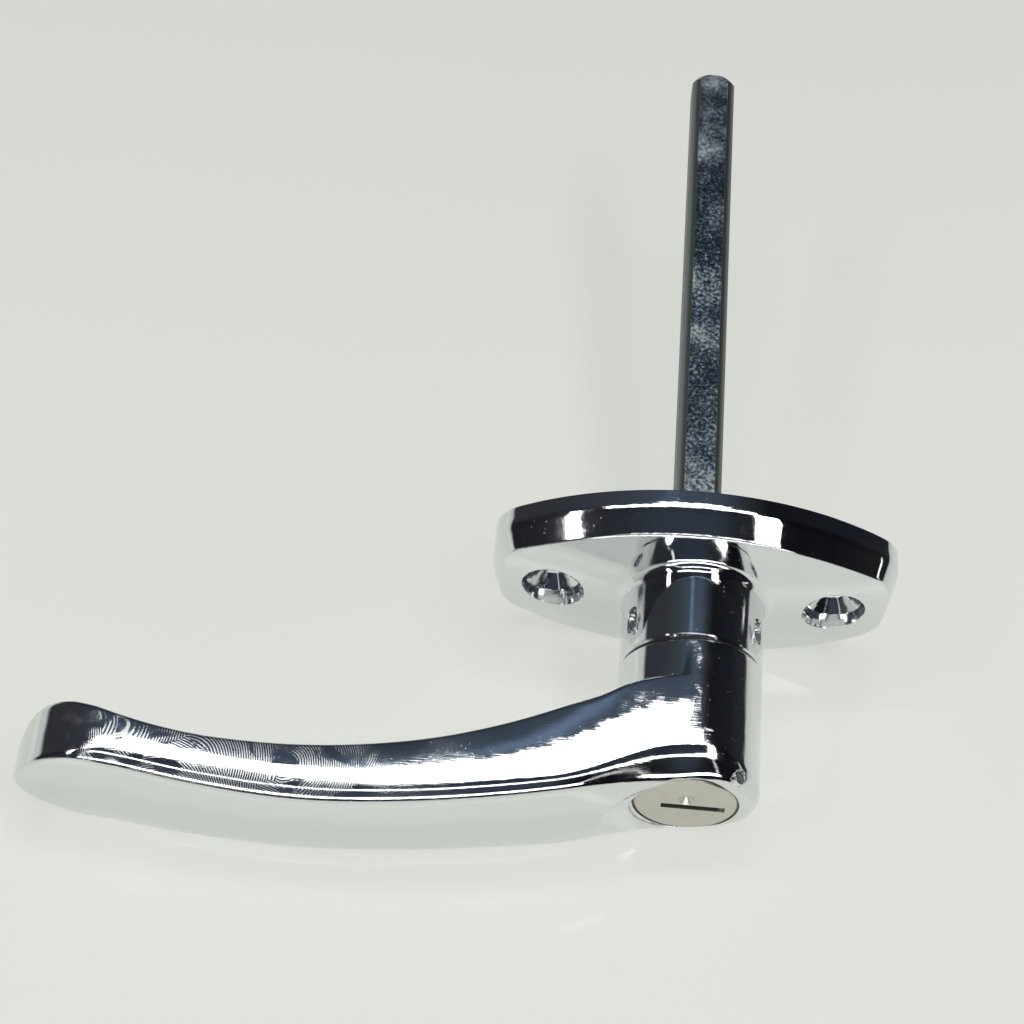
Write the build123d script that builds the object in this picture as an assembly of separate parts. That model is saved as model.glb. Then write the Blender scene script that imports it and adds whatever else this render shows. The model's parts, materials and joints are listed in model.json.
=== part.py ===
import os
from math import radians, sqrt, tan

from build123d import *

os.makedirs("parts", exist_ok=True)

# Locking lever handle of a compartment door, with its mounting plate, key lock and drive spindle.
# Every piece is drawn with its depth along local Z: zero is the plate's back and positive is
# towards the user. Placing turns that direction to -Y, with X to the right and Z up.

# Driving dimensions, mm
plate_length = 69.0
plate_width = 39.5
plate_side_radius = 56.5
plate_end_radius = 55.0
plate_corner_radius = 8.4
plate_land = 3.3
plate_draft = 20.5
plate_shoulder = 6.0
plate_top = 10.5
crown_along = 200.0
crown_across = 62.5
screw_spacing = 48.0
screw_hole_radius = 2.6
screw_rim_radius = 5.45
screw_seat_radius = 4.85
screw_sink = 2.6
collar_radius = 11.95
collar_end = 23.0
hub_start = 23.5
lock_face = 47.6
lever_reach = 108.4
lever_crown = 70.0
lever_edge = 3.0
shank_radius = 8.95
shank_end = 2.5
bore_radius = 9.0
spindle_flats = 7.94
spindle_radius = 4.76
spindle_reach = 108.3
spindle_tip_radius = 4.1
spindle_top = 16.8
pin_depth = 17.3
pin_angles = (28, 152)
cross_pin_depth = 11.0
seal_depth = 5.6
plug_radius = 6.5
plug_rear = 24.6
plug_flange = 8.38
plug_neck = 7.0
plug_pin_depth = 46.2
plug_pin_angle = 46
crank_offset = 1.5
crank_radius = 1.0
bolt_width = 6.8
bolt_low = 19.6
bolt_high = 22.4
wafer_first = 29.0
wafer_pitch = 3.0
wafer_count = 5
wafer_thickness = 0.9
spring_height = 2.55
running = 0.05


def place(shape):
    """Turn local Z to -Y, so that the plate lies against the plane y = 0."""
    return Plane(origin=(0, 0, 0), x_dir=(1, 0, 0), z_dir=(0, -1, 0)).location * shape


def save(shape, node):
    export_step(place(shape), "parts/" + node + ".step")


def rod(radius, low, high, x=0.0, y=0.0):
    """Round bar along the depth axis between two depths."""
    return Pos(x, y, (low + high) / 2) * Cylinder(radius, high - low)


def block(x0, x1, y0, y1, low, high):
    """Square-edged block between limits."""
    middle = Pos((x0 + x1) / 2, (y0 + y1) / 2, (low + high) / 2)
    return middle * Box(x1 - x0, y1 - y0, high - low)


def radial_rod(radius, inner, outer, depth, angle):
    """Round bar pointing out from the depth axis at an angle."""
    bar = Pos((inner + outer) / 2, 0, depth) * Rot(0, 90, 0) * Cylinder(radius, outer - inner)
    return Rot(0, 0, angle) * bar


def side_view(sketch, half=14.0):
    """Body of a side view, its X along the lever and its Y along the depth."""
    return Pos(0, half, 0) * extrude(Plane.XZ * sketch, amount=2 * half)


# Plate and collar

def plate_outline(shrink=0.0):
    """Lens shape: two long arcs and two blunt end arcs with rounded corners."""
    side, end = plate_side_radius - shrink, plate_end_radius - shrink
    half_w, half_l = plate_width / 2 - shrink, plate_length / 2 - shrink
    lens = Pos(0, half_w - side) * Circle(side) & Pos(0, side - half_w) * Circle(side)
    lens = lens & Pos(half_l - end, 0) * Circle(end) & Pos(end - half_l, 0) * Circle(end)
    return fillet(lens.vertices(), plate_corner_radius - shrink)


def plate_slab():
    """Straight land, drafted wall and domed front."""
    rise = 8.0
    low = Pos(0, 0, plate_land) * plate_outline()
    high = Pos(0, 0, plate_land + rise) * plate_outline(rise * tan(radians(plate_draft)))
    slab = extrude(plate_outline(), amount=plate_land) + loft([low.face(), high.face()], ruled=True)
    ring = Torus(crown_along - crown_across, crown_across)
    slab = slab & Pos(0, 0, plate_top - crown_along) * Rot(90, 0, 0) * ring
    slab = fillet(slab.edges().filter_by(lambda e: e.bounding_box().min.Z > 6.5), 0.6)
    return fillet([e for e in slab.edges() if at_level(e, plate_land)], plate_shoulder)


def at_level(edge, depth):
    box = edge.bounding_box()
    return abs(box.min.Z - depth) < 0.01 and abs(box.max.Z - depth) < 0.01


def back_pocket():
    """Hollow behind the plate, left out round the collar, the screws and four ribs."""
    hollow = extrude(plate_outline(2.7), amount=4.6)
    keep = rod(collar_radius + 0.4, 0, 5) + block(-25, 25, -0.9, 0.9, 0, 5)
    keep += block(-0.9, 0.9, -18, 18, 0, 5)
    for side in (-1, 1):
        keep += rod(5.0, 0, 5, side * screw_spacing / 2)
    return hollow - keep


def screw_hole(x):
    """Tapered well from the domed front, with a countersunk seat at its foot."""
    surface = plate_top - x * x / (2 * crown_along)
    seat_top = surface - screw_sink
    seat_height = screw_seat_radius - screw_hole_radius
    well = Pos(x, 0, surface - screw_sink / 2) * Cone(screw_seat_radius, screw_rim_radius, screw_sink)
    well += Pos(x, 0, seat_top - seat_height / 2) * Cone(screw_hole_radius, screw_seat_radius, seat_height)
    return well + rod(screw_rim_radius, surface, surface + 2, x) + rod(screw_hole_radius, -1, 6, x)


def bolt_notch(angle):
    """Recess in the collar bore that takes the locking bolt."""
    half = bolt_width / 2 + running
    slot = block(6, 12, -half, half, bolt_low - 0.1, bolt_high + 0.1) & rod(11.05, 0, 30)
    return Rot(0, 0, angle) * slot


def pin_recess(angle):
    """Shallow oval pocket in the collar round a retaining pin."""
    oval = Plane.YZ.offset(11.0) * Rot(0, 0, 90) * SlotOverall(5.0, 2.8)
    return Rot(0, 0, angle) * Pos(0, 0, pin_depth) * extrude(oval, amount=2.0)


def base_plate():
    """Mounting plate with its collar in one casting."""
    collar = rod(collar_radius, 0, collar_end)
    collar = chamfer(collar.edges().sort_by(Axis.Z)[-1:], 0.35)
    body = plate_slab() + collar
    foot = [e for e in body.edges() if 70 < e.length < 80 and 9 < e.bounding_box().min.Z < 11]
    body = fillet(foot, 1.6)
    body -= back_pocket()
    body -= rod(bore_radius, 2.2, 30) + rod(7.6, -1, 3)
    for side in (-1, 1):
        body -= screw_hole(side * screw_spacing / 2)
    for angle in (270, 180):
        body -= bolt_notch(angle)
    for angle in pin_angles:
        body -= pin_recess(angle) + radial_rod(1.21, 7, 12, pin_depth, angle)
    return body


# Handle

def front_outline():
    """Hub circle on the right, tapering lever and spoon-shaped tip on the left."""
    top = Spline(
        (0, collar_radius), (-30, 10.75), (-55, 10.2), (-78, 10.8), (-91, 11.25),
        (-99, 10.5), (-105.6, 7.0), (-lever_reach, 0), tangents=[(-1, 0), (0, -1)],
    )
    hub = ThreePointArc((0, -collar_radius), (collar_radius, 0), (0, collar_radius))
    return make_face(Curve() + [top, mirror(top, Plane.XZ), hub])


def outer_skin():
    """Crowned body below the outer face: an arc swept along the lever's bowed profile."""
    bow = Spline(
        (13, 48.1), (0, 48.6), (-14, 50.2), (-30, 54.0), (-45, 56.5),
        (-62, 57.7), (-80, 56.75), (-95, 54.75), (-110, 52.2),
    )
    path = Plane.XZ * bow
    half, deep = 14.0, 32.0
    sag = lever_crown - sqrt(lever_crown ** 2 - half ** 2)
    crown = ThreePointArc((-half, sag), (0, 0), (half, sag))
    rest = Polyline((half, sag), (half, deep), (-half, deep), (-half, sag))
    section = Plane(origin=path @ 0, x_dir=(0, 1, 0), z_dir=path % 0)
    return sweep(section * make_face(Curve() + [crown, rest]), path=path)


def finger_scoop():
    """Space behind the lever, its edge curving out to the thick tip."""
    edge = Spline(
        (0, 31.1), (-4.6, 31.5), (-9.5, 32.5), (-15, 35.0), (-30, 41.0), (-50, 46.3), (-70, 48.2),
        (-80, 48.0), (-90, 46.4), (-96, 44.9), (-99.8, 44.2), (-103.6, 45.4), (-106.6, 48.6),
        (-108.4, 53), tangents=[(-1, 0.02), (-0.1, 1)],
    )
    rest = Polyline((-108.4, 53), (-112, 53), (-112, 20), (0, 20), (0, 31.1))
    return side_view(make_face(Curve() + [edge, rest])) - rod(collar_radius, 10, 60)


def lever_shell():
    """Outside of the hub and lever."""
    shell = extrude(Pos(0, 0, hub_start) * front_outline(), amount=40) & outer_skin()
    rim = shell.edges().filter_by(lambda e: e.bounding_box().min.Z > 45)
    shell = fillet(rim, lever_edge) - finger_scoop()
    shell -= Pos(0, 0, 48.3) * Rot(-1.7, 2.9, 0) * Pos(4, -7.3, 10) * Cylinder(17, 20)
    bevel = Pos(0, 0, hub_start + 0.15) * Cone(collar_radius - 0.3, collar_radius, 0.3)
    return shell - (rod(collar_radius + 1, hub_start, hub_start + 0.3) - bevel)


def retaining_groove(angle):
    """Quarter-turn groove that a retaining pin rides in, its ends stopping the handle."""
    ring = Rectangle(3.0, 2.5).face()
    profile = Pos(7.1 + 1.5, 0, pin_depth) * Rot(90, 0, 0) * ring
    swept = revolve(profile, Axis.Z, revolution_arc=110)
    return Rot(0, 0, angle - 10) * swept


def spindle_section(extra=0.0):
    """Round bar with four flats."""
    flats = spindle_flats + 2 * extra
    return Circle(spindle_radius + extra) & Rectangle(flats, flats)


def plug_bore():
    """Stepped bore for the lock plug, with a clearance hole for the crank pin behind it."""
    bore = rod(plug_radius + running, plug_rear - 0.1, 50) + rod(plug_flange + 0.3, 44.1, 60)
    return bore + rod(crank_offset + crank_radius + 0.3, bolt_low, 26)


def wafer_channels():
    """Two pairs of grooves, a quarter turn apart, for the wafers' ends."""
    low = wafer_first - 1.0
    high = wafer_first + wafer_pitch * (wafer_count - 1) + 1.0
    grooves = block(-7.5, 7.5, -3.7, 3.7, low, high)
    return grooves + Rot(0, 0, 90) * grooves


def lever_handle():
    """Lever, hub and shank in one casting."""
    shank = rod(shank_radius, shank_end, hub_start + 1)
    shank = chamfer(shank.edges().sort_by(Axis.Z)[:1], 0.4)
    body = lever_shell() + shank
    for angle in pin_angles:
        body -= retaining_groove(angle)
    body -= extrude(Pos(0, 0, shank_end - 1) * spindle_section(0.04), amount=18.0 - shank_end)
    body -= radial_rod(1.27, -9.5, 9.5, cross_pin_depth, 0)
    body -= rod(10, seal_depth - 1.1, seal_depth + 1.1) - rod(7.05, 0, 20)
    half = bolt_width / 2 + running
    body -= block(-half, half, -12, 3.8, bolt_low - running, bolt_high + running) & rod(11, 0, 23.2)
    body -= plug_bore() + wafer_channels()
    body -= radial_rod(0.77, 8, 14, plug_pin_depth, plug_pin_angle)
    body -= radial_rod(1.22, 10.2, 14, plug_pin_depth, plug_pin_angle)
    return body


def square_spindle():
    """Drive bar with a turned chamfer at its free end."""
    bar = extrude(Pos(0, 0, -spindle_reach) * spindle_section(), amount=spindle_reach + spindle_top)
    tip = Pos(0, 0, -spindle_reach + 0.7) * Cone(spindle_tip_radius, spindle_radius + 0.14, 1.4)
    bar = bar & tip + rod(6, -spindle_reach + 1.4, spindle_top)
    return bar - radial_rod(1.27, -6, 6, cross_pin_depth, 0)


def retaining_pin(angle):
    return radial_rod(1.2, 7.3, 11.25, pin_depth, angle)


def thrust_washer():
    return rod(11.1, collar_end, hub_start) - rod(9.3, collar_end - 1, hub_start + 1)


def shank_seal():
    return Pos(0, 0, seal_depth) * Torus(8.05, 0.9)


# Lock

def key_slot(low, high):
    return block(-3.9, 5.6, -1.65, -0.35, low, high)


def wafer_depth(index):
    return wafer_first + wafer_pitch * index


def spring_bore(depth):
    """Pocket for the spring beside a wafer, drilled in from the right."""
    return Pos(3.65, spring_height, depth) * Rot(0, 90, 0) * Cylinder(0.85, 6.3)


def lock_plug():
    """Keyed barrel with its face, retaining neck and crank pin."""
    plug = rod(plug_radius, plug_rear, 45) + rod(plug_neck, 44.3, lock_face)
    plug += rod(plug_flange, 44.3, 45.3) + rod(plug_flange, 47.05, lock_face)
    plug = chamfer(plug.edges().sort_by(Axis.Z)[-1:], 0.2)
    reach = crank_offset * sqrt(0.5)
    plug += rod(crank_radius, bolt_low + 0.1, plug_rear + 1, reach, reach)
    plug -= key_slot(wafer_first - 2, 46.8) + block(-3.9, 6.5, -1.7, -0.3, 46.7, 48)
    plug -= Pos(0, 1.35, lock_face - 0.35) * Cone(0.4, 1.55, 0.9)
    for index in range(wafer_count):
        depth = wafer_depth(index)
        plug -= block(-7, 7, -3.52, 3.52, depth - 0.5, depth + 0.5)
        plug -= spring_bore(depth)
    return plug


def wafer(index):
    """Flat tumbler with a window for the key and an ear for its spring."""
    depth = wafer_depth(index)
    low, high = depth - wafer_thickness / 2, depth + wafer_thickness / 2
    plate = block(-7, 7, -3.47, 3.47, low, high) & rod(plug_radius - 0.1, low, high)
    plate -= block(-4.1, 5.0 - 0.25 * index, -1.85, -0.15, low - 1, high + 1)
    return plate - block(-0.6, 4.0, 1.6, 4, low - 1, high + 1)


def wafer_spring(index):
    """Compression spring between the pocket's end and the wafer's ear."""
    coil = Helix(pitch=0.66, height=3.1, radius=0.5)
    wire = sweep(Plane(origin=coil @ 0, z_dir=coil % 0) * Circle(0.11), path=coil)
    return Pos(0.75, spring_height, wafer_depth(index)) * Rot(0, 90, 0) * wire


def plug_pin():
    """Headed pin that reaches into the plug's neck."""
    shank = radial_rod(0.75, 7.3, 10.5, plug_pin_depth, plug_pin_angle)
    return shank + radial_rod(1.2, 10.2, 11.3, plug_pin_depth, plug_pin_angle)


def lock_bolt():
    """Sliding bolt with a cross slot for the crank pin and a rounded tip."""
    half = bolt_width / 2
    reach = crank_offset * sqrt(0.5)
    bolt = block(-half, half, -9, reach + 2.5, bolt_low, bolt_high) & rod(8.7, 0, 30)
    slot = SlotOverall(3.0, 2 * crank_radius + 0.2)
    return bolt - extrude(Pos(1.28, reach, bolt_low - 1) * slot, amount=5)


save(base_plate(), "base_plate")
save(lever_handle(), "lever_handle")
save(square_spindle(), "square_spindle")
save(radial_rod(1.25, -8.6, 8.6, cross_pin_depth, 0), "spindle_cross_pin")
save(retaining_pin(pin_angles[0]), "retaining_pin_right")
save(retaining_pin(pin_angles[1]), "retaining_pin_left")
save(thrust_washer(), "thrust_washer")
save(shank_seal(), "shank_seal")
save(lock_plug(), "lock_plug")
save(plug_pin(), "plug_retaining_pin")
save(lock_bolt(), "lock_bolt")
for number in range(wafer_count):
    save(wafer(number), "wafer_" + str(number + 1))
    save(wafer_spring(number), "wafer_spring_" + str(number + 1))
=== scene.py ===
import json
from math import cos, pi, radians, sin, tan

import bpy
import numpy as np
from mathutils import Matrix, Vector

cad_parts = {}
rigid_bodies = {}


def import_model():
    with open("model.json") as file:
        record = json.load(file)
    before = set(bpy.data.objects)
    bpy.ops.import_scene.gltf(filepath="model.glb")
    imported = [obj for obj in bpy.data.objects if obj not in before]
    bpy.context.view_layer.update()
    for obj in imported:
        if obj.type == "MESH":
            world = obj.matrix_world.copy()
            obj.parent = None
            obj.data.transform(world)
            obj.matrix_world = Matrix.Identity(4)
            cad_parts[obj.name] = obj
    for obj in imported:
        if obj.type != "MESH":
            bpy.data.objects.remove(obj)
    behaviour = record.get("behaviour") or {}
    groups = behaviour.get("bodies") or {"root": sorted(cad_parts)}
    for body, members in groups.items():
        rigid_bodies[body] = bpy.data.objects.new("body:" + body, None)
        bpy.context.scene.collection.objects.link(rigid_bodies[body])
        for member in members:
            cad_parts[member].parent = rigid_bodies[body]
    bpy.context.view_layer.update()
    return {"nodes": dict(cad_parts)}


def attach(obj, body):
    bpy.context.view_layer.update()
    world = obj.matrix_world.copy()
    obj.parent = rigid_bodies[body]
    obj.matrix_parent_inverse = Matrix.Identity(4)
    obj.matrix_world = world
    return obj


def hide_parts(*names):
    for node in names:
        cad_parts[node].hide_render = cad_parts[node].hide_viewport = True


for thing in list(bpy.data.objects):
    bpy.data.objects.remove(thing)
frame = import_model()


# Camera
# Above and in front of the door handle, which lies on its back edge on a table, turned slightly
# to the left.
camera = bpy.data.objects.new("camera", bpy.data.cameras.new("camera"))
bpy.context.scene.collection.objects.link(camera)
camera.rotation_mode = "QUATERNION"
camera.location = (-0.033246, -0.231768, 0.361572)
camera.rotation_quaternion = (0.9571843594, 0.2860923071, -0.0141009920, 0.0418384531)
camera.data.sensor_width = 36.0
camera.data.lens = 87.890625
camera.data.clip_start = 0.01
bpy.context.scene.camera = camera
bpy.context.scene.view_settings.view_transform = "Standard"


# Table
# Glossy white laminate, a little soft in its mirror image. The handle rests on the plate's lower
# edge, the hub and the lever's tip, so the table leans against the handle's own axes.
def linear(colour):
    """Six hex digits of sRGB as a linear colour."""
    parts = [int(colour[i:i + 2], 16) / 255 for i in (0, 2, 4)]
    return tuple(c / 12.92 if c <= 0.04045 else ((c + 0.055) / 1.055) ** 2.4 for c in parts) + (1.0,)


def add(tree, kind, links=(), **settings):
    """One node with its settings, and links from other sockets to its inputs.

    A setting that begins with in_ is an input, named or numbered. A Mix node's two colours are its
    inputs 6 and 7, and their mixture is its output 2.
    """
    made = tree.nodes.new(kind)
    for name, value in settings.items():
        if name.startswith("in_"):
            key = name[3:].replace("_", " ")
            made.inputs[int(key) if key.isdigit() else key].default_value = value
        else:
            setattr(made, name, value)
    for socket, source in dict(links).items():
        tree.links.new(source, made.inputs[socket])
    return made


def new_material(name):
    """Material with an empty node tree."""
    made = bpy.data.materials.new(name)
    made.use_nodes = True
    made.node_tree.nodes.clear()
    return made


laminate = new_material("glossy_white_laminate")
tree = laminate.node_tree
board = add(tree, "ShaderNodeBsdfPrincipled", in_Base_Color=linear("e4e6e1"), in_Roughness=0.1)
where = add(tree, "ShaderNodeTexCoord")
axes = add(tree, "ShaderNodeSeparateXYZ", {0: where.outputs["Object"]})
# the light on the table falls off a little towards the far side
nearness = add(tree, "ShaderNodeMapRange", {0: axes.outputs["Y"]},
               in_1=-0.1, in_2=0.2, in_3=1.23, in_4=1.08)
glow = add(tree, "ShaderNodeEmission", {1: nearness.outputs[0]}, in_Color=linear("e3e6de"))
# the eye and the chrome see six tenths of that pale glow, and the rest keeps the shadows
path = add(tree, "ShaderNodeLightPath")
seen = add(tree, "ShaderNodeMath",
           {0: path.outputs["Is Camera Ray"], 1: path.outputs["Is Glossy Ray"]}, operation="MAXIMUM")
share = add(tree, "ShaderNodeMath", {0: seen.outputs[0]}, operation="MULTIPLY", in_1=0.6)
mixed = add(tree, "ShaderNodeMixShader",
            {0: share.outputs[0], 1: board.outputs[0], 2: glow.outputs[0]})
add(tree, "ShaderNodeOutputMaterial", {"Surface": mixed.outputs[0]})

# the top lies this far under the spindle's axis at the plate, in m, and falls to the back and
# rises to the right by these slopes; its front edge is just below the picture
table_drop, fall_back, rise_right = 0.02035, 0.1827, 0.0064
front_edge = -0.11
bpy.ops.object.select_all(action="DESELECT")
bpy.ops.mesh.primitive_plane_add(size=6.0)
table = bpy.context.object
table.name = "table"
for v in table.data.vertices:
    v.co.y = max(v.co.y, front_edge)
    v.co.z = -table_drop - fall_back * v.co.y + rise_right * v.co.x
table.data.materials.append(laminate)


# Light
# A dim room with soft panels: two behind, a strip overhead on each side, and in front a frame of
# thin strips round the dark place where the camera stands. A pale wall stands low on the left.

# in m: how far off the lamps stand, and the place that they face
lamp_distance = 2.0
handle_middle = Vector((-0.03, -0.03, 0))


def panel(name, toward, width, height, strength):
    """Area lamp in a direction from the handle, facing it, with its width kept level."""
    lamp = bpy.data.lights.new(name, "AREA")
    lamp.shape = "RECTANGLE"
    lamp.size = width
    lamp.size_y = height
    lamp.energy = strength * pi * width * height
    made = bpy.data.objects.new(name, lamp)
    bpy.context.scene.collection.objects.link(made)
    there = Vector(toward).normalized()
    level = (Vector((1, 0, 0)) - there * there.x).normalized()
    facing = Matrix((level, there.cross(level), there)).transposed().to_quaternion()
    made.matrix_world = Matrix.LocRotScale(there * lamp_distance + handle_middle, facing, (1, 1, 1))


panel("panel_behind", (0.035, 0.41, 0.912), 0.75, 0.19, 6.0)
panel("panel_behind_high", (-0.05, 0.326, 0.945), 1.8, 0.2, 6.0)
panel("strip_left", (-0.644, -0.08, 0.765), 0.16, 1.4, 6.0)
panel("strip_right", (0.445, -0.08, 0.896), 0.3, 1.4, 6.0)
panel("strip_far_right", (0.966, -0.08, 0.26), 0.06, 1.0, 2.0)
panel("frame_top", (0.06, -0.358, 0.934), 1.7, 0.16, 6.0)
panel("frame_bottom", (0.04, -0.965, 0.259), 1.76, 0.28, 6.0)
panel("frame_left", (-0.37, -0.66, 0.66), 0.08, 1.5, 1.2)
panel("frame_right", (0.45, -0.63, 0.63), 0.03, 1.4, 1.5)


def set_stops(ramp, stops):
    """Give a colour ramp its stops, each a place from 0 to 1 and a colour, in rising order."""
    marks = ramp.color_ramp.elements
    marks[0].position, marks[0].color = stops[0]
    marks[1].position, marks[1].color = stops[-1]
    for place, colour in stops[1:-1]:
        marks.new(place).color = colour


room = bpy.data.worlds.new("room")
bpy.context.scene.world = room
room.use_nodes = True
tree = room.node_tree
tree.nodes.clear()
where = add(tree, "ShaderNodeTexCoord")
axes = add(tree, "ShaderNodeSeparateXYZ", {0: where.outputs["Generated"]})
# dark grey walls from left to right, bluer in the middle and nearly black on the right
across = add(tree, "ShaderNodeMapRange", {0: axes.outputs["X"]}, in_1=-1.0, in_2=1.0)
walls = add(tree, "ShaderNodeValToRGB", {0: across.outputs[0]})
wall_colours = ((0.0, "343638"), (0.15, "34363c"), (0.3, "3c4048"), (0.42, "434e5c"),
                (0.5, "455060"), (0.57, "434d5b"), (0.64, "2c3036"), (0.7, "16181c"),
                (0.88, "1c1f26"), (0.94, "2c2c30"), (1.0, "3a3a3c"))
set_stops(walls, [(place, linear(colour)) for place, colour in wall_colours])
# darker towards the floor behind, overhead and in front than half way up the back wall
deep = add(tree, "ShaderNodeMapRange", {0: axes.outputs["Y"]}, in_1=-1.0, in_2=1.0)
height = add(tree, "ShaderNodeValToRGB", {0: deep.outputs[0]})
dimming = ((0.0, 0.3), (0.1, 0.75), (0.4, 0.6), (0.6, 0.4), (0.68, 0.8), (0.75, 1.05), (0.8, 0.9),
           (0.88, 0.5), (1.0, 0.4))
set_stops(height, [(place, (grey, grey, grey, 1)) for place, grey in dimming])
room_colour = add(tree, "ShaderNodeMix", {6: walls.outputs[0], 7: height.outputs[0]},
                  data_type="RGBA", blend_type="MULTIPLY", in_0=1.0)
# blue light spilt on the wall below the panel
spill = add(tree, "ShaderNodeVectorMath", {0: where.outputs["Generated"]}, operation="DISTANCE",
            in_1=(-0.1, 0.515, 0.851))
near = add(tree, "ShaderNodeMapRange", {0: spill.outputs["Value"]}, interpolation_type="SMOOTHSTEP",
           in_1=0.07, in_2=0.0)
lit = add(tree, "ShaderNodeMix", {0: near.outputs[0], 6: room_colour.outputs[2]}, data_type="RGBA",
          in_7=linear("6a7f99"))
# a pale wall low down on the left
low = add(tree, "ShaderNodeMapRange", {0: axes.outputs["Z"]}, interpolation_type="SMOOTHSTEP",
          in_1=0.14, in_2=0.02)
leftward = add(tree, "ShaderNodeMapRange", {0: axes.outputs["X"]}, interpolation_type="SMOOTHSTEP",
               in_1=-0.55, in_2=-0.75)
wall_area = add(tree, "ShaderNodeMath", {0: low.outputs[0], 1: leftward.outputs[0]},
                operation="MULTIPLY")
walled = add(tree, "ShaderNodeMix", {0: wall_area.outputs[0], 6: lit.outputs[2]}, data_type="RGBA",
             in_7=linear("ccd0cd"))
# what shows past the table is as pale as the table
path = add(tree, "ShaderNodeLightPath")
shown = add(tree, "ShaderNodeMix", {0: path.outputs["Is Camera Ray"], 6: walled.outputs[2]},
            data_type="RGBA", in_7=linear("e4e6e2"))
background = add(tree, "ShaderNodeBackground", {0: shown.outputs[2]})
add(tree, "ShaderNodeOutputWorld", {0: background.outputs[0]})


# Mounting plate and collar
# One zinc casting, polished on a wheel and chrome plated. The mirror finish waves a little, and
# keeps hairlines from the wheel and a few specks of dust; the screw wells are left as cast.

# in m: how far out the screw wells lie and their radius, and the scratches' length and spacing
screw_offset, well_radius = 0.024, 0.0055
scratch_length, scratch_gap = 4e-3, 2e-4


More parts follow.
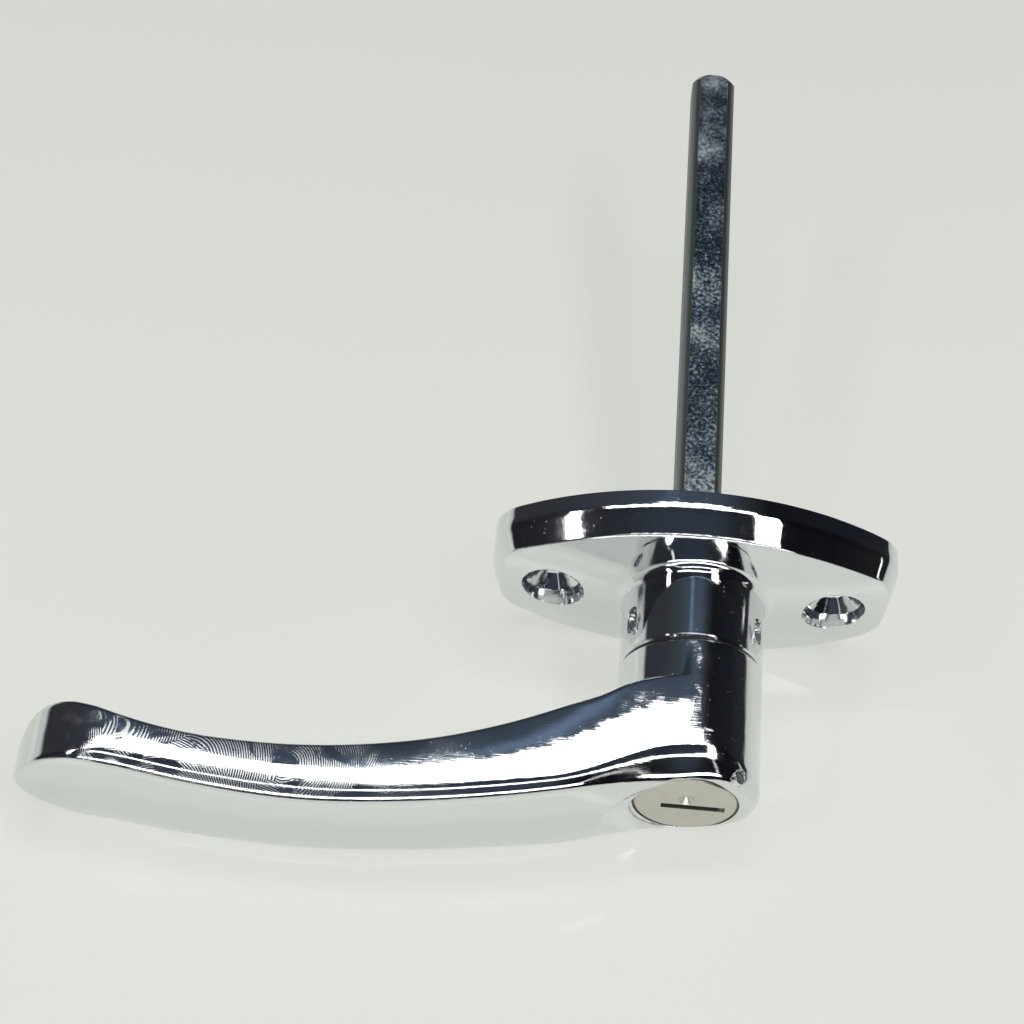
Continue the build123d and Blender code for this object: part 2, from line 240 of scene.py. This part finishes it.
def chromed(name, hairlines, prints, wells=0.0):
    """Chrome plate over a polished zinc casting.

    hairlines is how deep its scratches are, 1 for the usual depth, prints how dull its finger marks
    are, and wells how dull and faceted the screw wells are.
    """
    made = new_material(name)
    tree = made.node_tree
    where = add(tree, "ShaderNodeTexCoord").outputs["Object"]
    split = add(tree, "ShaderNodeSeparateXYZ", {0: where})
    # slow waves of a wheel-polished surface, 3 to 4 mm long, bend the edges of reflections
    waves = add(tree, "ShaderNodeTexNoise", {"Vector": where}, in_Scale=260.0, in_Detail=1.0)
    # edges of cuts are broken 0.3 mm by polishing
    broken = add(tree, "ShaderNodeBevel", samples=4, in_Radius=3e-4)
    bend = add(tree, "ShaderNodeBump", {"Height": waves.outputs[0], "Normal": broken.outputs[0]},
               in_Distance=2.5e-5, in_Strength=1.0)
    # the wheel doesn't reach the wells, one on each side: they keep the die's facets, 1 mm across
    aside = add(tree, "ShaderNodeMath", {0: split.outputs[0]}, operation="ABSOLUTE")
    folded = add(tree, "ShaderNodeCombineXYZ", {0: aside.outputs[0], 2: split.outputs[2]})
    off = add(tree, "ShaderNodeVectorMath", {0: folded.outputs[0]}, operation="DISTANCE",
              in_1=(screw_offset, 0, 0))
    well = add(tree, "ShaderNodeMapRange", {0: off.outputs["Value"]}, in_1=well_radius,
               in_2=well_radius - 3e-4, in_4=wells)
    cells = add(tree, "ShaderNodeTexVoronoi", {"Vector": where}, in_Scale=900.0)
    facets = add(tree, "ShaderNodeMath", {0: cells.outputs["Distance"], 1: well.outputs[0]},
                 operation="MULTIPLY")
    cast = add(tree, "ShaderNodeBump", {"Height": facets.outputs[0], "Normal": bend.outputs[0]},
               in_Distance=5e-4, in_Strength=1.0)
    # fine scratches along the piece, in patches about 10 mm across
    drawn = add(tree, "ShaderNodeMapping", {0: where},
                in_Scale=(1 / scratch_length, 1 / scratch_gap, 1 / scratch_gap))
    scratch = add(tree, "ShaderNodeTexNoise", {"Vector": drawn.outputs[0]}, in_Scale=1.0,
                  in_Detail=3.0)
    patch = add(tree, "ShaderNodeTexNoise", {"Vector": where}, in_Scale=90.0, in_Detail=5.0,
                in_Roughness=0.6)
    worn = add(tree, "ShaderNodeMapRange", {0: patch.outputs[0]}, interpolation_type="SMOOTHSTEP",
               in_1=0.36, in_2=0.7)
    lines = add(tree, "ShaderNodeMath", {0: worn.outputs[0], 1: scratch.outputs[0]},
                operation="MULTIPLY")
    grooved = add(tree, "ShaderNodeBump", {"Height": lines.outputs[0], "Normal": cast.outputs[0]},
                  in_Distance=hairlines * 1e-5, in_Strength=1.0)
    # finger marks, a thin film in arched ridges 0.35 mm apart
    held = add(tree, "ShaderNodeTexVoronoi", {"Vector": where}, in_Scale=75.0)
    around = add(tree, "ShaderNodeVectorMath", {0: where, 1: held.outputs["Position"]},
                 operation="SUBTRACT")
    arched = add(tree, "ShaderNodeVectorMath", {0: around.outputs[0]}, operation="ADD",
                 in_1=(0.006, 0.004, 0.0))
    ridges = add(tree, "ShaderNodeTexWave", {"Vector": arched.outputs[0]}, wave_type="RINGS",
                 rings_direction="SPHERICAL", in_Scale=900.0, in_Distortion=2.0, in_Detail=1.0,
                 in_Detail_Scale=0.5)
    worn_ridge = add(tree, "ShaderNodeMapRange", {0: ridges.outputs[1]}, in_1=0.35, in_2=0.8)
    touched = add(tree, "ShaderNodeTexNoise", {"Vector": where}, in_Scale=140.0, in_Detail=4.0,
                  in_Distortion=1.0)
    print_area = add(tree, "ShaderNodeMapRange", {0: touched.outputs[0]}, in_1=0.4, in_2=0.52)
    # they lie more than 30 to 60 mm out along the lever, on its sides, 9 mm above or below its middle
    far = add(tree, "ShaderNodeMapRange", {0: split.outputs[0]}, in_1=-0.03, in_2=-0.06)
    rise = add(tree, "ShaderNodeMath", {0: split.outputs[2]}, operation="ABSOLUTE")
    side = add(tree, "ShaderNodeMapRange", {0: rise.outputs[0]}, in_1=0.0085, in_2=0.0098)
    reach = add(tree, "ShaderNodeMath", {0: far.outputs[0], 1: side.outputs[0]}, operation="MULTIPLY")
    held_area = add(tree, "ShaderNodeMath", {0: print_area.outputs[0], 1: reach.outputs[0]},
                    operation="MULTIPLY")
    film = add(tree, "ShaderNodeMath", {0: worn_ridge.outputs[0], 1: held_area.outputs[0]},
               operation="MULTIPLY")
    # dust specks 0.2 to 0.3 mm across, drawn that coarse to show
    speck = add(tree, "ShaderNodeMapRange", {0: cells.outputs["Distance"]}, in_1=0.14, in_2=0.08)
    dusty = add(tree, "ShaderNodeMath", {0: speck.outputs[0], 1: worn.outputs[0]},
                operation="MULTIPLY")
    # each of them dulls the mirror by its own amount
    filmed = add(tree, "ShaderNodeMath", {0: film.outputs[0]}, operation="MULTIPLY_ADD", in_1=prints,
                 in_2=0.03)
    scratched = add(tree, "ShaderNodeMath", {0: lines.outputs[0], 2: filmed.outputs[0]},
                    operation="MULTIPLY_ADD", in_1=0.12 * hairlines)
    dusted = add(tree, "ShaderNodeMath", {0: dusty.outputs[0], 2: scratched.outputs[0]},
                 operation="MULTIPLY_ADD", in_1=0.3)
    gloss = add(tree, "ShaderNodeMath", {0: well.outputs[0], 1: dusted.outputs[0]}, operation="ADD",
                use_clamp=True)
    body = add(tree, "ShaderNodeBsdfPrincipled",
               {"Roughness": gloss.outputs[0], "Normal": grooved.outputs[0]},
               in_Base_Color=linear("e3e5e6"), in_Metallic=1.0)
    add(tree, "ShaderNodeOutputMaterial", {"Surface": body.outputs[0]})
    return made


def coat(piece, material):
    """Give a piece one material."""
    piece.data.materials.clear()
    piece.data.materials.append(material)


plate_chrome = chromed("chrome_on_polished_casting", 1.0, 0.0, 0.05)
coat(frame["nodes"]["base_plate"], plate_chrome)


# Lever, hub and shank
# One zinc casting, polished until its sides are slightly barrelled and its edges soft, then chrome
# plated. A dish is sunk round the lock, and the shank is bored and grooved for what it carries.

# in mm, with every depth in this section measured out from the door
hub_radius = 11.95
hub_back, hub_chamfer = 23.5, 0.3
lever_crown, hub_crown = 70.0, 20.0


def through(points, count):
    """Evenly spaced points on a smooth curve through the given ones."""
    knots = np.array(points, dtype=float)
    gaps = np.maximum(np.linalg.norm(np.diff(knots, axis=0), axis=1), 1e-9)
    at = np.concatenate([[0], np.cumsum(gaps)])
    slope = np.gradient(knots, at, axis=0)
    t = np.linspace(0, at[-1], count)
    i = np.clip(np.searchsorted(at, t) - 1, 0, len(gaps) - 1)
    u = ((t - at[i]) / gaps[i])[:, None]
    g = gaps[i][:, None]
    return ((2 * u ** 3 - 3 * u ** 2 + 1) * knots[i] + (u ** 3 - 2 * u ** 2 + u) * g * slope[i]
            + (3 * u ** 2 - 2 * u ** 3) * knots[i + 1] + (u ** 3 - u ** 2) * g * slope[i + 1])


def side_view(points):
    """A smooth curve read as a value over X."""
    line = through(points, 600)
    order = np.argsort(line[:, 0])
    return lambda x: float(np.interp(x, line[order, 0], line[order, 1]))


def fade(x, a, b):
    """0 before a and 1 past b, smoothly."""
    t = min(max((x - a) / (b - a), 0.0), 1.0)
    return t * t * (3 - 2 * t)


# the side view: depth of the outer face and of the back
outer_bow = side_view([(14, 46.9), (8.7, 48.1), (0, 49.4), (-7, 50.3), (-14.5, 51.6),
                       (-30, 54.4), (-45, 56.55), (-62, 57.69), (-80, 56.75), (-95, 54.9),
                       (-103, 54.25), (-110, 54.0)])
inner_bow = side_view([(3, 29.2), (0, 29.4), (-2, 29.8), (-4.3, 30.4), (-6.3, 30.9), (-10, 32.1),
                       (-15, 34.9), (-20, 37.0), (-30, 41.0), (-40, 44.2), (-50, 46.3),
                       (-60, 47.6), (-70, 48.1), (-80, 47.8), (-90, 46.1), (-96, 44.4),
                       (-99.8, 43.5), (-102.4, 43.4), (-104.3, 43.75), (-106, 44.9),
                       (-107.2, 47.7), (-107.9, 50.5)])
# how far the lever's side leans inwards towards its face, in degrees
side_lean = side_view([(10, 0), (3, 0.2), (0, 0.8), (-5, 1.2), (-12, 1.2), (-20, 0.2), (-30, -0.9),
                       (-45, -1.7), (-60, -1.3), (-75, -0.4), (-90, 0), (-110, 0)])
# the front view's upper half, a quarter of the hub and then the lever's side out to its tip
hub_count, side_count = 24, 176
quarter = [(hub_radius * cos(a), hub_radius * sin(a)) for a in np.linspace(0, pi / 2, hub_count)]
lever_side = through([(0, hub_radius), (-8, 11.85), (-18, 11.4), (-30, 10.75), (-42, 10.4),
                      (-55, 10.2), (-68, 10.4), (-78, 10.8), (-86, 11.15), (-91, 11.25),
                      (-95.5, 10.95), (-99, 9.9), (-102.6, 7.9), (-105.2, 5.5), (-106.95, 3.0),
                      (-107.6, 1.4), (-107.75, 0)], side_count)[1:]
outline = np.vstack([quarter, lever_side])
outline[-1, 1] = 0
# the way inwards from each point, which at both ends is along the middle line
along = np.gradient(outline, axis=0)
along /= np.linalg.norm(along, axis=1)[:, None]
inward = np.stack([-along[:, 1], along[:, 0]], axis=1)
inward[0], inward[-1] = (-1, 0), (1, 0)


def outer_skin(x, z):
    """Depth of the outer face, crowned to a radius that is tighter over the hub."""
    low, high = 0.5 / lever_crown, 0.5 / hub_crown
    return outer_bow(x) - z * z * (low + (high - low) * fade(x, -22, -2))


def lever_section(x, z, nx, nz):
    """Points of the upper half's surface at one point of the outline, nx and nz leading inwards.

    They run from the middle of the back, round the side, to the middle of the face.
    """
    # the outer edge is rounded 0.8 mm at the tip, 2 mm along the lever, 3.4 mm where it meets the
    # hub and 2.2 mm round the hub's far side
    soft = 0.8 + 1.2 * fade(x, -100, -92) + 1.4 * fade(x, -22, -3) - 1.2 * fade(x, 2, 10)
    # the side is barrelled by 0.14 mm, and by 0.24 mm in the lever's middle
    swell = ((0.14 + 0.1 * fade(x, -88, -65) * (1 - fade(x, -30, -14)))
             * (1 - fade(x, -4, 6)) * fade(x, -101, -91))
    # the hub's back is flat, and the core joined on below covers it; the lever's back is scooped
    back, edge = (hub_back + 0.02, hub_chamfer) if x > -0.01 else (inner_bow(x), 0.8)
    front = outer_skin(x, z) - soft
    tilt = tan(radians(side_lean(x)))
    middle = (front + back + edge) / 2
    # the back, its edge and the barrelled side, as (how far in from the outline, how deep, what
    # share of the way out from the middle line)
    points = []
    start = swell + tilt * (back + edge - middle)
    for t in np.linspace(0, 1, 9)[:-1]:
        points.append((start + edge, back, t))
    for a in np.linspace(0, pi / 2, 6):
        points.append((start + edge * (1 - sin(a)), back + edge * (1 - cos(a)), 1))
    for t in np.linspace(0, 1, 22)[1:-1]:
        depth = back + edge + (front - back - edge) * t
        points.append((swell * (2 * t - 1) ** 2 + tilt * (depth - middle), depth, 1))
    placed = [(x + nx * i, max(z + nz * i, 0.0) * t, depth) for i, depth, t in points]
    # the outer edge carries on at the slope with which the side arrives
    lean = 4 * swell / (front - back - edge) + tilt
    for a in np.linspace(0, pi / 2, 15):
        i = swell + tilt * (front - middle) + lean * soft * sin(a) + soft * (1 - cos(a))
        px, pz = x + nx * i, max(z + nz * i, 0.0)
        placed.append((px, pz, outer_skin(px, pz) - soft * (1 - sin(a))))
    rim_x, rim_z, _ = placed[-1]
    for t in np.linspace(1, 0, 15)[1:]:
        placed.append((rim_x, rim_z * t, outer_skin(rim_x, rim_z * t)))
    return placed


# the upper half is a grid laid over the sections, and the lower half its mirror image
sections = [lever_section(x, z, nx, nz) for (x, z), (nx, nz) in zip(outline, inward)]
rows, columns = len(sections), len(sections[0])
bpy.ops.object.select_all(action="DESELECT")
bpy.ops.mesh.primitive_grid_add(x_subdivisions=columns - 1, y_subdivisions=rows - 1, size=2)
lever = bpy.context.object
lever.name = "lever_and_hub"
for v in lever.data.vertices:
    row, column = round((v.co.y + 1) / 2 * (rows - 1)), round((v.co.x + 1) / 2 * (columns - 1))
    x, z, depth = sections[row][column]
    v.co = (x / 1000, -depth / 1000, z / 1000)
lower_half = lever.modifiers.new("lower_half", "MIRROR")
lower_half.use_axis = (False, False, True)
lower_half.merge_threshold = 1e-6
bpy.ops.object.modifier_apply(modifier="lower_half")
bpy.ops.object.mode_set(mode="EDIT")
bpy.ops.mesh.select_all(action="SELECT")
bpy.ops.mesh.remove_doubles(threshold=2e-6)
bpy.ops.mesh.normals_make_consistent(inside=False)
bpy.ops.object.mode_set(mode="OBJECT")


def turned(steps, x=0.0, z=0.0, sides=96):
    """A turned solid along the depth: a disc drawn out ring by ring, each a (radius, depth)."""
    bpy.ops.object.select_all(action="DESELECT")
    radius, depth = steps[0]
    bpy.ops.mesh.primitive_circle_add(
        vertices=sides, radius=radius / 1000, fill_type="NGON",
        location=(x / 1000, -depth / 1000, z / 1000), rotation=(pi / 2, 0, 0))
    bpy.ops.object.transform_apply()
    bpy.ops.object.mode_set(mode="EDIT")
    bpy.ops.mesh.select_all(action="SELECT")
    for r, d in steps[1:]:
        bpy.ops.mesh.extrude_region_move(TRANSFORM_OT_translate={"value": (0, (depth - d) / 1000, 0)})
        bpy.ops.transform.resize(value=(r / radius, 1, r / radius),
                                 center_override=(x / 1000, -d / 1000, z / 1000))
        radius, depth = r, d
    bpy.ops.mesh.select_all(action="SELECT")
    bpy.ops.mesh.normals_make_consistent(inside=False)
    bpy.ops.object.mode_set(mode="OBJECT")
    return bpy.context.object


def radial(steps, depth, angle):
    """A turned solid at a depth, pointing out from the axis at an angle from +X towards +Z."""
    made = turned(steps, sides=32)
    for move in (Matrix.Rotation(pi / 2, 4, "Z"), Matrix.Rotation(radians(-angle), 4, "Y"),
                 Matrix.Translation((0, -depth / 1000, 0))):
        made.data.transform(move)
    return made


def block(x0, x1, z0, z1, low, high):
    """A square-edged block between limits, its depth last."""
    bpy.ops.object.select_all(action="DESELECT")
    bpy.ops.mesh.primitive_cube_add(
        size=0.001, location=((x0 + x1) / 2000, -(low + high) / 2000, (z0 + z1) / 2000),
        scale=(x1 - x0, high - low, z1 - z0))
    bpy.ops.object.transform_apply()
    return bpy.context.object


def combine(piece, how, *others):
    """Join to or cut with other solids, which are used up."""
    for other in others:
        cut = piece.modifiers.new("cut", "BOOLEAN")
        cut.operation = how
        cut.solver = "EXACT"
        cut.object = other
        bpy.context.view_layer.objects.active = piece
        bpy.ops.object.modifier_apply(modifier="cut")
        bpy.data.objects.remove(other)


# the shank, and above it the hub's core, which closes the hub's back
shank_radius, shank_end, core_radius = 8.95, 2.5, 11.94
combine(lever, "UNION", turned([
    (shank_radius - 0.4, shank_end), (shank_radius, shank_end + 0.4), (shank_radius, hub_back),
    (core_radius - hub_chamfer, hub_back), (core_radius, hub_back + hub_chamfer), (core_radius, 40)]))

# the dish: a flat floor that curves up into its wall, a shallow ring round the lock, and a rounded
# lip that stops it short of the hub's lower side
outside = 60
dish_x, dish_z = 5.2, -2.2
floor_radius, floor_depth, wall_curve, dish_mouth = 9, 47.63, 14, 20.5
ring_radius, ring_depth, ring_chamfer = 9.1, 47.6, 0.25
lip_x, lip_z = -6.0, 22.3
lip_radius, lip_start, lip_curve, lip_mouth = 31.5, 47, 4, 35.6
bowl = [(floor_radius + wall_curve * sin(a), floor_depth + wall_curve * (1 - cos(a)))
        for a in np.radians(range(0, 50, 7))]
dish = turned([*bowl, (dish_mouth, outside)], dish_x, dish_z)
combine(dish, "UNION", turned([(ring_radius - ring_chamfer, ring_depth),
                               (ring_radius, ring_depth + ring_chamfer), (ring_radius, outside + 1)]))
lip = [(lip_radius + lip_curve * sin(a), ring_depth + lip_curve * (1 - cos(a)))
       for a in np.radians(range(0, 61, 10))]
combine(dish, "INTERSECT", turned([(lip_radius, lip_start), *lip, (lip_mouth, outside - 1)],
                                  lip_x, lip_z, sides=256))

# the plug's tail, barrel and face each have a bore, and the headed pin comes in from the hub's side
tail_bore, barrel_bore, face_bore = 2.8, 6.55, 8.68
tail_end, barrel_end, face_end = 19.6, 24.5, 44.1
plug_bore = turned([(tail_bore, tail_end), (tail_bore, barrel_end), (barrel_bore, barrel_end),
                    (barrel_bore, face_end), (face_bore, face_end), (face_bore, outside)])
headed_pin = 1.22
headed_pin_hole = radial([(headed_pin, 10.2), (headed_pin, 14)], depth=46.2, angle=46)
combine(lever, "DIFFERENCE", dish, plug_bore, headed_pin_hole)

# inside: the spindle's square bore and cross pin, the bolt's slot and the wafers' channels
spindle_side, spindle_corner, cross_pin = 4.01, 4.8, 1.27
spindle_bore = block(-spindle_side, spindle_side, -spindle_side, spindle_side, 1.5, 18)
combine(spindle_bore, "INTERSECT", turned([(spindle_corner, 1), (spindle_corner, 19)]))
cross_pin_hole = radial([(cross_pin, -9.5), (cross_pin, 9.5)], depth=11, angle=0)
bolt_slot = block(-3.45, 3.45, -11, 3.8, low=19.55, high=22.45)
narrow, wide, channel_back, channel_front = 3.7, 7.5, 28, 42
combine(lever, "DIFFERENCE", spindle_bore, cross_pin_hole, bolt_slot,
        block(-wide, wide, -narrow, narrow, channel_back, channel_front),
        block(-narrow, narrow, -wide, wide, channel_back, channel_front))

# outside the shank: the seal's groove and the retaining pins' groove, each with its floor's radius
clear_radius = 9.5
for radius, low, high in ((7.05, 4.5, 6.7), (7.1, 16.05, 18.55)):
    groove = turned([(clear_radius, low), (clear_radius, high)])
    combine(groove, "DIFFERENCE", turned([(radius, low - 1), (radius, high + 1)]))
    combine(lever, "DIFFERENCE", groove)
bpy.ops.object.select_all(action="DESELECT")
lever.select_set(True)
bpy.context.view_layer.objects.active = lever
bpy.ops.object.shade_smooth_by_angle(angle=radians(28))
coat(lever, chromed("chrome_on_handled_casting", 1.2, 0.36))
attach(lever, "handle")
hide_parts("lever_handle")


# Drive spindle
# Drawn steel bar, zinc plated. Its turned corners are smooth and grey; the flats carry a crust of
# blue-black and white zinc bloom.

# from the axis to a flat, in m
spindle_flat = 3.97e-3
zinc = new_material("bloomed_zinc_plate")
tree = zinc.node_tree
where = add(tree, "ShaderNodeTexCoord").outputs["Object"]
axes = add(tree, "ShaderNodeSeparateXYZ", {0: where})
side_x = add(tree, "ShaderNodeMath", {0: axes.outputs[0]}, operation="ABSOLUTE")
side_z = add(tree, "ShaderNodeMath", {0: axes.outputs[2]}, operation="ABSOLUTE")
far = add(tree, "ShaderNodeMath", {0: side_x.outputs[0], 1: side_z.outputs[0]}, operation="MAXIMUM")
flat = add(tree, "ShaderNodeMapRange", {0: far.outputs[0]},
           in_1=spindle_flat - 4e-5, in_2=spindle_flat - 5e-6)
# flecks of bloom 0.4 mm across, gathered in clouds of 10 mm
flecks = add(tree, "ShaderNodeTexNoise", {"Vector": where}, in_Scale=1500.0, in_Detail=4.0,
             in_Roughness=0.7)
clouds = add(tree, "ShaderNodeTexNoise", {"Vector": where}, in_Scale=110.0, in_Detail=3.0,
             in_Roughness=0.6)
# the flecks fade out towards the far end, and the bloom thickens in the last 30 mm before the plate
strength = add(tree, "ShaderNodeMapRange", {0: axes.outputs[1]},
               in_1=0.095, in_2=0.06, in_3=0.4, in_4=1.1)
centred = add(tree, "ShaderNodeMath", {0: flecks.outputs[0]}, operation="SUBTRACT", in_1=0.5)
thick = add(tree, "ShaderNodeMapRange", {0: axes.outputs[1]},
            in_1=0.029, in_2=0.021, in_3=0.5, in_4=0.55)
fleck = add(tree, "ShaderNodeMath",
            {0: centred.outputs[0], 1: strength.outputs[0], 2: thick.outputs[0]},
            operation="MULTIPLY_ADD")
crust = add(tree, "ShaderNodeMath", {0: clouds.outputs[0], 2: fleck.outputs[0]},
            operation="MULTIPLY_ADD", in_1=0.55)
bloom = add(tree, "ShaderNodeValToRGB", {0: crust.outputs[0]})
bloom_colours = ((0.64, "262c38"), (0.76, "3c4652"), (0.84, "69757e"), (0.99, "c3cccd"))
set_stops(bloom, [(place, linear(colour)) for place, colour in bloom_colours])
colour = add(tree, "ShaderNodeMix", {0: flat.outputs[0], 7: bloom.outputs[0]}, data_type="RGBA",
             in_6=linear("8e9592"))
# the white bloom is dull and no metal
white = add(tree, "ShaderNodeMapRange", {0: crust.outputs[0]}, in_1=0.8, in_2=0.92)
dull = add(tree, "ShaderNodeMath", {0: white.outputs[0], 1: flat.outputs[0]}, operation="MULTIPLY")
metal = add(tree, "ShaderNodeMath", {1: dull.outputs[0]}, operation="SUBTRACT", in_0=1.0)
rough = add(tree, "ShaderNodeMath", {0: dull.outputs[0]}, operation="MULTIPLY_ADD", in_1=0.25,
            in_2=0.36)
raised = add(tree, "ShaderNodeMath", {0: crust.outputs[0], 1: flat.outputs[0]}, operation="MULTIPLY")
bump = add(tree, "ShaderNodeBump", {"Height": raised.outputs[0]}, in_Distance=2e-4, in_Strength=0.6)
body = add(tree, "ShaderNodeBsdfPrincipled", {
    "Base Color": colour.outputs[2], "Metallic": metal.outputs[0], "Roughness": rough.outputs[0],
    "Normal": bump.outputs[0]})
add(tree, "ShaderNodeOutputMaterial", {"Surface": body.outputs[0]})
coat(frame["nodes"]["square_spindle"], zinc)


# Lock plug
# Turned brass with satin nickel plate. Its face is brushed across, with grain 0.1 mm wide, and is
# a warmer grey than the chrome round it.
def brushed(name, colour, roughness, grain, spread):
    """Metal with straight grain along X, 17 times as long as it is wide.

    grain is its width in m, and spread is how much its gloss varies.
    """
    made = new_material(name)
    tree = made.node_tree
    where = add(tree, "ShaderNodeTexCoord").outputs["Object"]
    drawn = add(tree, "ShaderNodeMapping", {0: where}, in_Scale=(0.06 / grain, 1 / grain, 1 / grain))
    lines = add(tree, "ShaderNodeTexNoise", {"Vector": drawn.outputs[0]}, in_Scale=1.0, in_Detail=3.0)
    gloss = add(tree, "ShaderNodeMath", {0: lines.outputs[0]}, operation="MULTIPLY_ADD", in_1=spread,
                in_2=roughness - spread / 2)
    # stains 2 to 3 mm across, a seventh darker at most
    stain = add(tree, "ShaderNodeTexNoise", {"Vector": where}, in_Scale=400.0, in_Detail=3.0)
    stained = tuple(0.86 * c for c in linear(colour)[:3]) + (1,)
    tint = add(tree, "ShaderNodeMix", {0: stain.outputs[0]}, data_type="RGBA", in_6=linear(colour),
               in_7=stained)
    bump = add(tree, "ShaderNodeBump", {"Height": lines.outputs[0]}, in_Distance=grain * 0.04,
               in_Strength=1.0)
    body = add(tree, "ShaderNodeBsdfPrincipled", {
        "Base Color": tint.outputs[2], "Roughness": gloss.outputs[0], "Normal": bump.outputs[0]},
        in_Metallic=1.0)
    add(tree, "ShaderNodeOutputMaterial", {"Surface": body.outputs[0]})
    return made


coat(frame["nodes"]["lock_plug"], brushed("satin_nickel_plate", "d3d1c7", 0.3, 1e-4, 0.16))


# Pins, bolt and springs
# The cross pin, bolt and springs are plain steel, ground or drawn and a little dull. The retaining
# pins in the collar's pockets are drawn brighter, and the headed pin is chrome plated like the hub.
steel = brushed("plain_ground_steel", "b9b9b8", 0.3, 2e-4, 0.2)
for name in ("spindle_cross_pin", "lock_bolt"):
    coat(frame["nodes"][name], steel)
bright_steel = brushed("bright_drawn_steel", "c4c2ba", 0.14, 3e-4, 0.1)
for name in ("retaining_pin_left", "retaining_pin_right"):
    coat(frame["nodes"][name], bright_steel)
coat(frame["nodes"]["plug_retaining_pin"], plate_chrome)
wafer_numbers = range(1, 6)
for number in wafer_numbers:
    coat(frame["nodes"]["wafer_spring_%d" % number], steel)


# Wafers
# Stamped from brass strip, with the strip's rolling lines and a slight tarnish.
rolled_brass = brushed("stamped_brass_strip", "c9a95c", 0.28, 1.5e-4, 0.18)
for number in wafer_numbers:
    coat(frame["nodes"]["wafer_%d" % number], rolled_brass)


# Thrust washer and shank seal
# The washer is moulded nylon filled with graphite, dark and slightly waxy; the seal is black
# nitrile rubber with a dull, faintly powdery skin.
def moulded(name, colour, roughness, grain):
    """Plastic or rubber with a fine moulded skin, its grain given in m."""
    made = new_material(name)
    tree = made.node_tree
    where = add(tree, "ShaderNodeTexCoord").outputs["Object"]
    skin = add(tree, "ShaderNodeTexNoise", {"Vector": where}, in_Scale=1 / grain, in_Detail=3.0)
    gloss = add(tree, "ShaderNodeMath", {0: skin.outputs[0]}, operation="MULTIPLY_ADD", in_1=0.15,
                in_2=roughness - 0.07)
    bump = add(tree, "ShaderNodeBump", {"Height": skin.outputs[0]}, in_Distance=grain * 0.05,
               in_Strength=1.0)
    body = add(tree, "ShaderNodeBsdfPrincipled",
               {"Roughness": gloss.outputs[0], "Normal": bump.outputs[0]},
               in_Base_Color=linear(colour))
    add(tree, "ShaderNodeOutputMaterial", {"Surface": body.outputs[0]})
    return made


coat(frame["nodes"]["thrust_washer"], moulded("graphite_filled_nylon", "34353a", 0.45, 3e-4))
coat(frame["nodes"]["shank_seal"], moulded("black_nitrile_rubber", "1b1b1c", 0.7, 2e-4))
